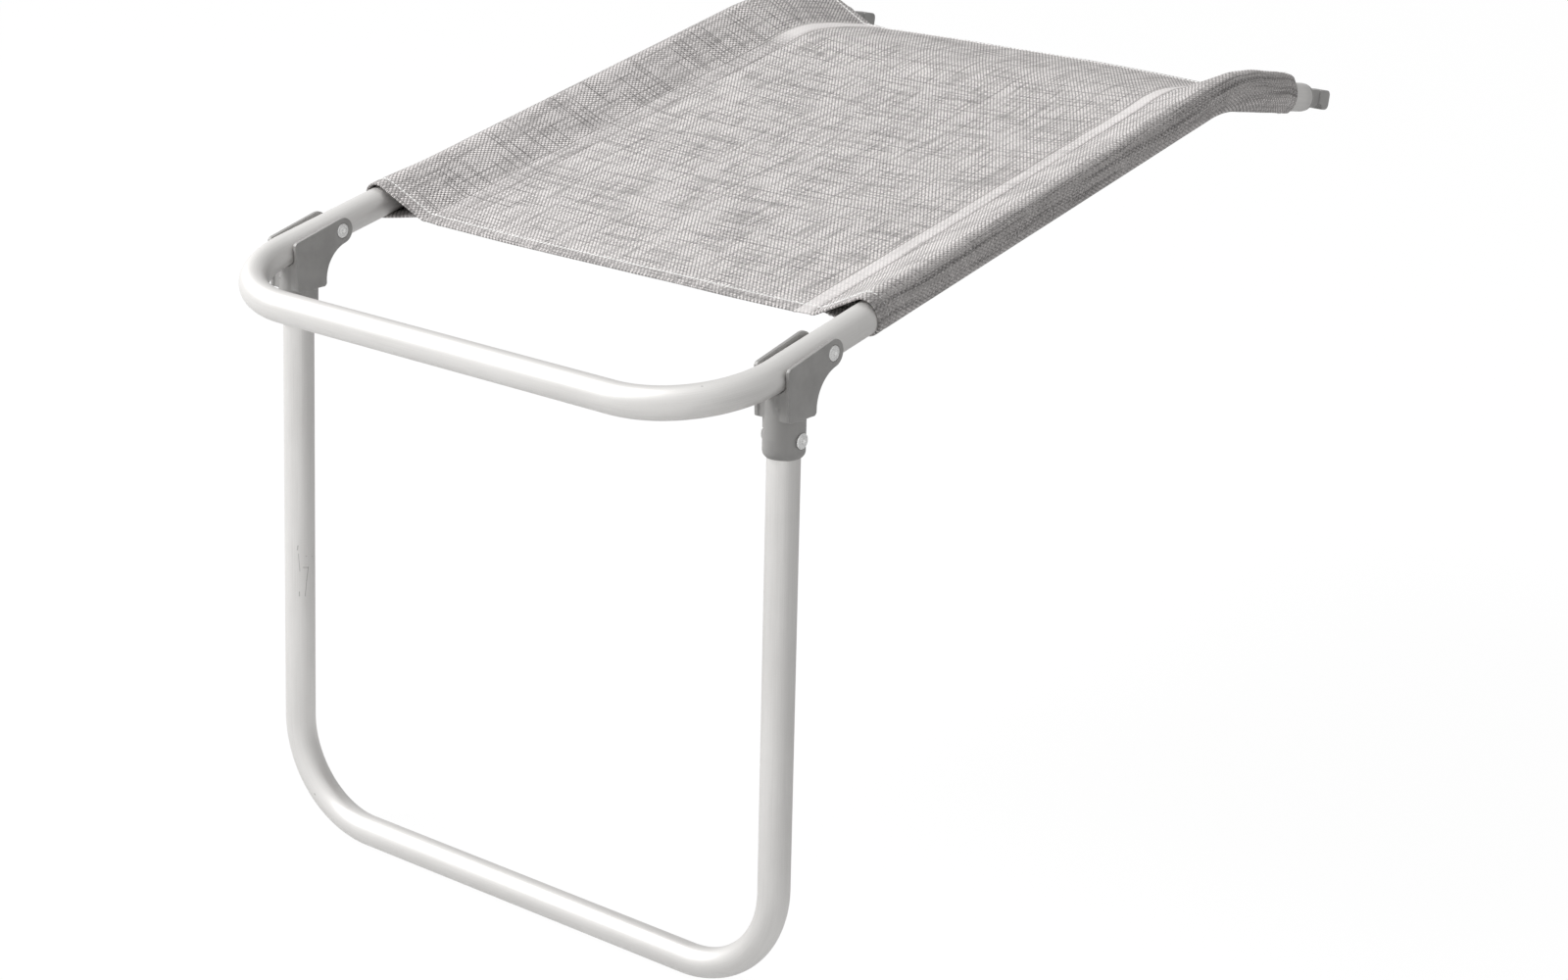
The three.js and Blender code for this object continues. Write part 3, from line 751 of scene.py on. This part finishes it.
# Hook plugs: glass-filled nylon, moulded in one, driven into each rail's rear end as far as the collar. The
# neck drops over the chair's cross pin, which sits in the notch, and the lip behind it keeps it there.
plug_shank = 26 * mm
plug_collar = 6 * mm
plug_neck_height = 12 * mm
plug_neck_width = 11 * mm
plug_reach = 33.5 * mm
plug_tip_round = 4 * mm
plug_notch_reach = 21.5 * mm
plug_notch_radius = 3 * mm
plug_notch_depth = 2.4 * mm
plug_lip_drop = 1.6 * mm
plug_neck_step = 1.6 * mm  # the neck's sides stand this much further in than the tip block's
plug_block_start = 19.5 * mm
plug_collar_round = 4.6 * mm
plug_lead_in = (1 * mm, 2 * mm)  # across and along, at the shank's end
plug_fit = 0.3 * mm  # shank to bore, and collar to the tube's end
plug_rim_inset = 0.2 * mm
plug_core_gap = 0.6 * mm  # the neck's narrow part starts this far past the collar
curve_sides = 48
fine_voxel = 0.4 * mm
plastic_grey = (0.35, 0.344, 0.336)
plastic_dark = (0.295, 0.29, 0.283)


def lathed(profile, axis_turn, sides=curve_sides):
    """A closed turned body from (radius, height) points that start and end on its axis."""
    points = [axis_turn @ Vector((0, 0, profile[0][1]))]
    for radius, height in profile[1:-1]:
        for j in range(sides):
            angle = 2 * math.pi * j / sides
            points.append(axis_turn @ Vector((radius * math.cos(angle), radius * math.sin(angle), height)))
    points.append(axis_turn @ Vector((0, 0, profile[-1][1])))
    rows = len(profile) - 2
    faces = renumbered(grid_faces(rows, sides, False, True), 1)
    last = len(points) - 1
    for j in range(sides):
        beside = (j + 1) % sides
        faces.append((0, 1 + beside, 1 + j))
        faces.append((last, last - sides + j, last - sides + beside))
    return points, faces


def extruded(outline, x_low, x_high):
    """A closed plate with a side outline of (along, up) points between two places across."""
    count = len(outline)
    points = [Vector((x, y, z)) for x in (x_low, x_high) for y, z in outline]
    faces = [(j, (j + 1) % count, count + (j + 1) % count, count + j) for j in range(count)]
    faces.append(tuple(range(count))[::-1])
    faces.append(tuple(range(count, 2 * count)))
    return points, faces


def arc(centre, radius, start, end, steps=12):
    angles = np.linspace(start, end, steps + 1)
    return [(centre[0] + radius * math.cos(a), centre[1] + radius * math.sin(a)) for a in angles]


def solid_of(name, shells, placed):
    points = []
    faces = []
    for shell_points, shell_faces in shells:
        faces += renumbered(shell_faces, len(points))
        points += [placed(p) for p in shell_points]
    return new_piece(name, points, faces, moulded_plastic)


def moulded(name, shells, cuts, placed):
    """One moulding: shells joined, cuts taken out, and a small radius left on every edge."""
    piece = solid_of(name, shells, placed)
    cutter = solid_of(name + "_cut", cuts, placed)
    trim = piece.modifiers.new("cut", "BOOLEAN")
    trim.object = cutter
    trim.solver = "EXACT"
    trim.use_self = True
    skin = piece.modifiers.new("one_skin", "REMESH")
    skin.mode = "VOXEL"
    skin.voxel_size = fine_voxel
    skin.use_smooth_shade = True
    soften = piece.modifiers.new("radii", "SMOOTH")
    soften.factor = 0.5
    soften.iterations = 5
    depsgraph = bpy.context.evaluated_depsgraph_get()
    piece.data = bpy.data.meshes.new_from_object(piece.evaluated_get(depsgraph))
    piece.modifiers.clear()
    bpy.data.objects.remove(cutter)
    return piece


def grained_plastic(start):
    place = start.node("TexCoord", output=3)
    grain = cloudy(stretched(place, 2600, 2600, 2600), 2.0, 0.6)
    cloud = cloudy(stretched(place, 60, 60, 60), 3.0, 0.6)
    scuffs = cloudy(stretched(place, 900, 160, 160), 3.0, 0.7)
    return {
        "Base Color": tinted(plastic_dark, plastic_grey, eased(cloud * 0.6 + grain * 0.4, 0.35, 0.6)),
        "Roughness": eased(scuffs, 0.35, 0.75, 0.42, 0.56),
        "Normal": bumped(grain, 0.18, 0.00006),
    }


moulded_plastic = finish("moulded_nylon", {"Specular IOR Level": 0.5}, grained_plastic)


def plug_outline():
    top = plug_neck_height / 2
    tip = plug_reach - plug_tip_round
    lip = -top - plug_lip_drop
    notch_up = plug_notch_depth - plug_notch_radius - top
    open_angle = math.asin((plug_notch_radius - plug_notch_depth) / plug_notch_radius)
    notch = arc((plug_notch_reach, notch_up), plug_notch_radius, math.pi - open_angle, open_angle)
    return [
        (plug_collar / 2, -top),
        *notch,
        (notch[-1][0], lip),
        *arc((tip, lip + plug_tip_round), plug_tip_round, -math.pi / 2, 0),
        *arc((tip, top - plug_tip_round), plug_tip_round, 0, math.pi / 2),
        (plug_collar / 2, top),
    ]


def hook_plug(word, side):
    end = rail_corners(side)[0]
    along_turn = Matrix.Rotation(-math.pi / 2, 3, "X")
    bend_turn = Matrix.Rotation(-rear_bend, 3, "X")
    bore = tube_radius - tube_wall - plug_fit
    rim = tube_radius - plug_rim_inset
    shoulder_centre = (rim - plug_collar_round, plug_collar - plug_collar_round)
    shoulder = arc(shoulder_centre, plug_collar_round, 0, math.pi / 2, 8)
    taper, taper_run = plug_lead_in
    body = lathed([
        (0, -plug_shank), (bore - taper, -plug_shank), (bore, -plug_shank + taper_run), (bore, plug_fit),
        (rim, plug_fit), *shoulder, (0, plug_collar),
    ], along_turn)
    half = plug_neck_width / 2
    neck = extruded(plug_outline(), -half, half)
    beside = [
        (plug_collar + plug_core_gap, -plug_neck_height), (plug_block_start, -plug_neck_height),
        (plug_block_start, plug_neck_height), (plug_collar + plug_core_gap, plug_neck_height),
    ]
    cores = [extruded(beside, s * half - plug_neck_step, s * half + plug_neck_step) for s in (-1, 1)]

    def placed(place):
        return in_rails(end + bend_turn @ place)

    plug = moulded(f"hook_plug_moulding_{word}", [body, neck], cores, placed)
    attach(plug, "seat_frame")
    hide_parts(f"hook_plug_{word}")


for word, side in both_sides:
    hook_plug(word, side)


# Leg tube: the same anodised tube bent into a U, with two slightly splayed legs and a plain bar that stands
# on the ground. It has no feet. Its open ends sit in the brackets' sockets.
leg_drop = 399.82 * mm  # pivots to the foot bar's centre
leg_setback = 28 * mm
leg_lean = math.radians(2.9)
leg_splay = math.radians(0.85)
foot_corner_radius = 66 * mm
plate_drop = 34 * mm
socket_length = 24.2 * mm
socket_end = plate_drop + socket_length
socket_rivet_level = plate_drop + 12.5 * mm
leg_top = socket_end - 32 * mm
leg_turn = Matrix.Rotation(-leg_lean, 3, "X")


def in_leg(place):
    """A place in the row's frame, given in the leg's own upright frame at the pivots."""
    return pivots + leg_turn @ Vector(place)


def leg_point(side, drop):
    spread = (drop - socket_rivet_level) * math.tan(leg_splay)
    return Vector((side * (rail_x + spread), -leg_setback, -drop))


leg_ends = ((-1, leg_top), (-1, leg_drop), (1, leg_drop), (1, leg_top))
leg_corners = [leg_point(side, drop) for side, drop in leg_ends]
leg_rings = bent_rings(leg_corners, [foot_corner_radius, foot_corner_radius])
leg_tube = bent_tube("bent_leg_tube", leg_rings, in_leg)
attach(leg_tube, "leg_frame")
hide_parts("leg_frame_tube")


# Saddle brackets: nylon mouldings. Two plates straddle the rail, a web between them stops against it, and a
# round socket below takes the leg. Moulding left a small pip low on the web's flat front.
plate_thickness = 2.8 * mm
plate_gap = 0.3 * mm
lug_radius = 8.5 * mm
plate_depth = 26.4 * mm
plate_front_trim = 1.2 * mm
plate_taper = 2 * mm
plate_top_tilt = math.radians(2.5)
plate_corner = 1.5 * mm
plate_nose = 0.6 * mm  # the lower front corners are nearly sharp
plate_top_chamfer = 1.5 * mm
scoop_radius = 22.5 * mm
web_front_recess = 0.5 * mm
web_front_top = -10 * mm
web_rear_top = -5 * mm
socket_wall = 2.4 * mm
socket_chamfer = (2 * mm, 3.4 * mm)
socket_half_chamfer = 0.5 * mm  # the socket has narrowed this much halfway down its chamfer
pip_radius = 1.05 * mm
pip_offset = 4.3 * mm
pip_height = 7.1 * mm  # above the plates' lower edge
rivet_hole = 2.8 * mm
rivet_seat_radius = 5.1 * mm
rivet_seat_depth = 1.2 * mm
cut_past = 5 * mm  # cutters reach this far past what they cut
cut_reach = 60 * mm
cut_height = 30 * mm
plate_front = -leg_setback - plate_depth / 2 + plate_front_trim
plate_rear = -leg_setback + plate_depth / 2
plate_inner = tube_radius + plate_gap
plate_outer = plate_inner + plate_thickness
socket_radius = tube_radius + plate_gap + socket_wall


def plate_outline():
    slope = rail_pitch + leg_lean + plate_top_tilt
    front_top = plate_front - plate_taper
    scoop_along = plate_rear + scoop_radius
    scoop_up = -math.sqrt((lug_radius + scoop_radius) ** 2 - scoop_along**2)
    lug_end = math.atan2(scoop_up, scoop_along)

    def top_at(along):
        return along * math.tan(slope) + lug_radius / math.cos(slope)

    return [
        (plate_front + plate_nose, -plate_drop),
        (plate_front, -plate_drop + plate_nose),
        (front_top, top_at(front_top) - plate_top_chamfer),
        (front_top + plate_top_chamfer, top_at(front_top + plate_top_chamfer)),
        *arc((0, 0), lug_radius, math.pi / 2 + slope, lug_end, 24),
        *arc((scoop_along, scoop_up), scoop_radius, lug_end + math.pi, math.pi, 16)[1:],
        (plate_rear, -plate_drop + plate_corner),
        (plate_rear - plate_corner, -plate_drop),
    ]


def cylinder(radius, low, high, axis_turn, sides=curve_sides):
    return lathed([(0, low), (radius, low), (radius, high), (0, high)], axis_turn, sides)


def saddle_bracket(word, side):
    centre = Vector((side * rail_x, 0, 0))
    across_turn = Matrix.Rotation(math.pi / 2, 3, "Y")
    rail_tilt = Matrix.Rotation(rail_pitch + leg_lean, 3, "X")
    rail_way = rail_tilt @ Matrix.Rotation(-math.pi / 2, 3, "X")
    upright = Matrix.Rotation(-side * leg_splay, 3, "Y")
    socket_centre = leg_point(side, socket_rivet_level)
    past = plate_outer + cut_past
    web_front = plate_front + web_front_recess
    web_reach = plate_inner + plate_thickness / 2

    def shifted(shell, offset):
        return [p + offset for p in shell[0]], shell[1]

    def in_socket(shell):
        lift = Vector((0, 0, socket_rivet_level))
        return [socket_centre + upright @ (p + lift) for p in shell[0]], shell[1]

    reaches = ((plate_inner, plate_outer), (-plate_outer, -plate_inner))
    plates = [extruded(plate_outline(), *reach) for reach in reaches]
    web = extruded([
        (web_front, -plate_drop), (plate_rear, -plate_drop), (plate_rear, web_rear_top),
        (web_front, web_front_top),
    ], -web_reach, web_reach)
    narrow, chamfer_up = socket_chamfer
    socket = in_socket(lathed([
        (0, -socket_end), (socket_radius - narrow, -socket_end),
        (socket_radius - socket_half_chamfer, -socket_end + chamfer_up / 2),
        (socket_radius, -socket_end + chamfer_up), (socket_radius, 0), (0, 0),
    ], Matrix.Identity(3)))
    pip_place = Vector((side * pip_offset, web_front + leg_setback, -plate_drop + pip_height))
    bulge = arc((0, 0), pip_radius, -math.pi / 3, math.pi / 3, 4)
    pip = lathed([(0, -pip_radius), *bulge, (0, pip_radius)], Matrix.Identity(3), 16)
    pip = in_socket(shifted(pip, pip_place))
    room = tube_radius + plate_gap
    channel = cylinder(room, -cut_reach, cut_reach, rail_way)
    above = extruded([
        (-cut_reach, 0), (cut_reach, 0), (cut_reach, cut_height), (-cut_reach, cut_height),
    ], -room, room)
    above = [rail_tilt @ p for p in above[0]], above[1]
    bore = in_socket(cylinder(room, -socket_end - cut_past, -leg_top + plate_gap, Matrix.Identity(3)))
    through = socket_radius + cut_past
    socket_hole = cylinder(rivet_hole, -through, through, across_turn, 24)
    cuts = [shifted(shell, centre) for shell in (
        channel, above, cylinder(rivet_hole, -past, past, across_turn, 24),
        cylinder(rivet_seat_radius, plate_outer - rivet_seat_depth, past, across_turn),
        cylinder(rivet_seat_radius, -past, rivet_seat_depth - plate_outer, across_turn),
    )]
    cuts += [bore, shifted(socket_hole, socket_centre)]
    shells = [shifted(shell, centre) for shell in (*plates, web)] + [socket, pip]
    bracket = moulded(f"saddle_bracket_{word}", shells, cuts, in_leg)
    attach(bracket, "leg_frame")
    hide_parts(f"leg_bracket_{word}")


for word, side in both_sides:
    saddle_bracket(word, side)


# Rivets: semi-tubular aluminium, set cold. The pivot rivets sit in the plates' counterbores and let the
# brackets turn. The socket rivets pass through the legs. Setting leaves a rolled ring round a small hollow
# in each head.
rivet_head_radius = 4.8 * mm
rivet_head_height = 1.4 * mm
head_gap = 0.25 * mm
rivet_bright = (0.95, 0.95, 0.94)
rivet_dull = (0.74, 0.74, 0.73)
head_shares = [
    (0.52, 0.0), (0.97, 0.0), (1.0, 0.12), (1.0, 0.34), (0.97, 0.52), (0.9, 0.68), (0.78, 0.76), (0.66, 0.76),
    (0.6, 0.66), (0.55, 0.72), (0.5, 0.9), (0.43, 1.0), (0.35, 0.97), (0.29, 0.8), (0.25, 0.5), (0.22, 0.25),
    (0.12, 0.2), (0.0, 0.2),
]  # of the head's radius and height, from the shank to the middle of the hollow


def set_rivet_metal(start):
    place = start.node("TexCoord", output=3)
    dents = cloudy(stretched(place, 700, 700, 700), 3.0, 0.6)
    return {
        "Base Color": tinted(rivet_dull, rivet_bright, eased(dents, 0.3, 0.55)),
        "Roughness": eased(dents, 0.3, 0.7, 0.34, 0.2),
        "Normal": bumped(dents, 0.2, 0.0001),
    }


bright_rivet = finish("set_rivet_aluminium", {"Metallic": 0.5}, set_rivet_metal)


def set_rivet(name, node, centre, grip, placed):
    """A rivet across the part with a head on each end of its grip."""
    half = [(r * rivet_head_radius, grip / 2 + h * rivet_head_height) for r, h in head_shares]
    profile = [(r, -h) for r, h in reversed(half)] + half
    points, faces = lathed(profile, Matrix.Rotation(math.pi / 2, 3, "Y"))
    rivet = new_piece(name, [placed(centre + p) for p in points], faces, bright_rivet)
    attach(rivet, "leg_frame" if name.startswith("socket") else "seat_frame")
    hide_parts(node)


pivot_grip = 2 * (plate_outer - rivet_seat_depth + head_gap)
socket_grip = 2 * (socket_radius + head_gap)
for word, side in both_sides:
    pivot = Vector((side * rail_x, 0, 0))
    names = (f"pivot_set_rivet_{word}", f"pivot_rivet_{word}")
    set_rivet(*names, pivot, pivot_grip, in_rails)
    level = leg_point(side, socket_rivet_level)
    names = (f"socket_set_rivet_{word}", f"socket_rivet_{word}")
    set_rivet(*names, level, socket_grip, in_leg)


# Studio: a plain pale floor under the foot bar, one large soft lamp high on the left, a weaker one on the
# right, and the camera at the photograph's viewing angle.
floor_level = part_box("leg_frame_tube")[0][2]
floor_reach = 9.0
camera_place = Vector((1.26679, -1.95506, 0.54403))
camera_azimuth = math.radians(38.251)
camera_elevation = math.radians(20.939)
camera_roll = math.radians(0.114)
lit_side = (-0.4, -0.8, 0.2)
far_side_light = 0.45
floor_lit_range = (-0.09, 0.86)  # along the lit side, from the far side's light to the full one
world_lit_range = (-0.9, 0.6)
floor_glow = 1.04
floor_plain_share = 0.93  # how much of the floor that a ray sees is plain white
world_share = 0.5  # how much of the world's light falls on what isn't seen directly
lamp_aim = Vector((0, -0.3, -0.1))
sensor_width = 36.0
image_width = 1600
focal_pixels = 3257.5


def backdrop(start, place, far, near):
    """How much a ray sees the plain white, and its light: white, but greyer in metal towards the far side."""
    rays = start.node("LightPath", output=None)
    camera_ray, glossy_ray, transmission_ray = rays[0], rays[3], rays[6]
    towards_key = vector_math("DOT_PRODUCT", place, lit_side)
    lit = eased(towards_key, far, near, far_side_light, 1.0)
    seen = camera_ray.math("MAXIMUM", transmission_ray).math("MAXIMUM", glossy_ray)
    return seen, 1 - glossy_ray * (1 - lit), lit


def glowing(start):
    """Mixes plain white light over the floor's own surface, on which nothing varies."""
    nodes = start.tree.nodes
    links = start.tree.links
    glow = nodes.new("ShaderNodeEmission")
    mix = nodes.new("ShaderNodeMixShader")
    seen, light, _ = backdrop(start, start.node("NewGeometry"), *floor_lit_range)
    links.new((light * floor_glow).socket, glow.inputs["Strength"])
    links.new((seen * floor_plain_share).socket, mix.inputs["Fac"])
    links.new(nodes["Principled BSDF"].outputs["BSDF"], mix.inputs[1])
    links.new(glow.outputs["Emission"], mix.inputs[2])
    links.new(mix.outputs["Shader"], nodes["Material Output"].inputs["Surface"])
    return {}


pale_floor = finish("pale_floor", {"Base Color": (0.6, 0.6, 0.6, 1), "Roughness": 0.9}, glowing)
corner_signs = ((-1, -1), (1, -1), (1, 1), (-1, 1))
floor_corners = [(x * floor_reach, y * floor_reach, floor_level) for x, y in corner_signs]
floor = new_piece("floor", floor_corners, [(0, 1, 2, 3)], pale_floor)

world = bpy.data.worlds.new("studio")
world.use_nodes = True
bpy.context.scene.world = world
around = world.node_tree.nodes["Background"]
start = Wire(world.node_tree)
seen, light, lit = backdrop(start, start.node("TexCoord"), *world_lit_range)
strength = seen * light + (1 - seen) * lit * world_share
around.inputs["Color"].default_value = (1, 1, 1, 1)
world.node_tree.links.new(strength.socket, around.inputs["Strength"])


def soft_lamp(name, place, size, power, mirrored=True):
    lamp = bpy.data.lights.new(name, "AREA")
    lamp.size = size
    lamp.energy = power
    held = added_object(name, lamp)
    held.location = place
    held.visible_glossy = mirrored
    held.rotation_euler = (lamp_aim - held.location).to_track_quat("-Z", "Y").to_euler()


soft_lamp("key_softbox", Vector((-1.9, -1.6, 2.1)), size=1.2, power=92)
soft_lamp("fill_softbox", Vector((2.2, 0.2, 0.3)), size=1.4, power=9, mirrored=False)

camera = added_object("camera", bpy.data.cameras.new("camera"))
back = Vector((
    math.sin(camera_azimuth) * math.cos(camera_elevation),
    -math.cos(camera_azimuth) * math.cos(camera_elevation),
    math.sin(camera_elevation),
))
level_right = Vector((math.cos(camera_azimuth), math.sin(camera_azimuth), 0))
level_up = back.cross(level_right)
right = level_right * math.cos(camera_roll) + level_up * math.sin(camera_roll)
up = level_up * math.cos(camera_roll) - level_right * math.sin(camera_roll)
camera.matrix_world = Matrix.Translation(camera_place) @ Matrix((right, up, back)).transposed().to_4x4()
camera.data.sensor_width = sensor_width
camera.data.sensor_fit = "HORIZONTAL"
camera.data.lens = focal_pixels * sensor_width / image_width
camera.data.clip_end = 60
bpy.context.scene.camera = camera
bpy.context.scene.view_settings.view_transform = "Standard"
